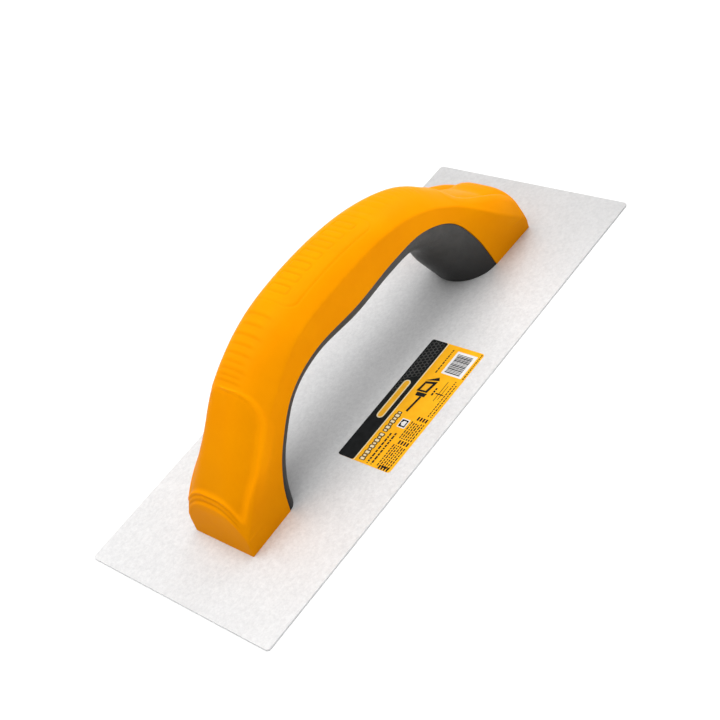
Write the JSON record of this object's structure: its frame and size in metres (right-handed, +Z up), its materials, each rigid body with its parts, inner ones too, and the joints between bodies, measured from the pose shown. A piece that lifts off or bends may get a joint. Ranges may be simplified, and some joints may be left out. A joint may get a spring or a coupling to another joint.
{
  "type": "plastering trowel",
  "caption": "Rectangular thin steel finishing blade with a closed two-foot plastic bow handle, a dark inner grip and countersunk screws from below.",
  "frame": {"origin": "centre of the blade's working face, on its underside", "axes": "+X along the blade towards the far foot, +Y across it, away from the label, +Z up through the handle"},
  "size_m": [0.28, 0.12, 0.077],
  "materials": {
    "blade_steel": "fine satin",
    "shell_plastic": "satin, moulded",
    "grip_plastic": "matt, moulded",
    "label_film": "printed film",
    "screw_steel": "zinc plated"
  },
  "bodies": {
    "root": {"blade": "blade_steel", "handle_shell": "shell_plastic", "grip_insert": "grip_plastic", "label": "label_film", "screw_near_left": "screw_steel", "screw_near_right": "screw_steel", "screw_near_heel": "screw_steel", "screw_far_left": "screw_steel", "screw_far_right": "screw_steel", "screw_far_heel": "screw_steel"}
  },
  "joints": []
}
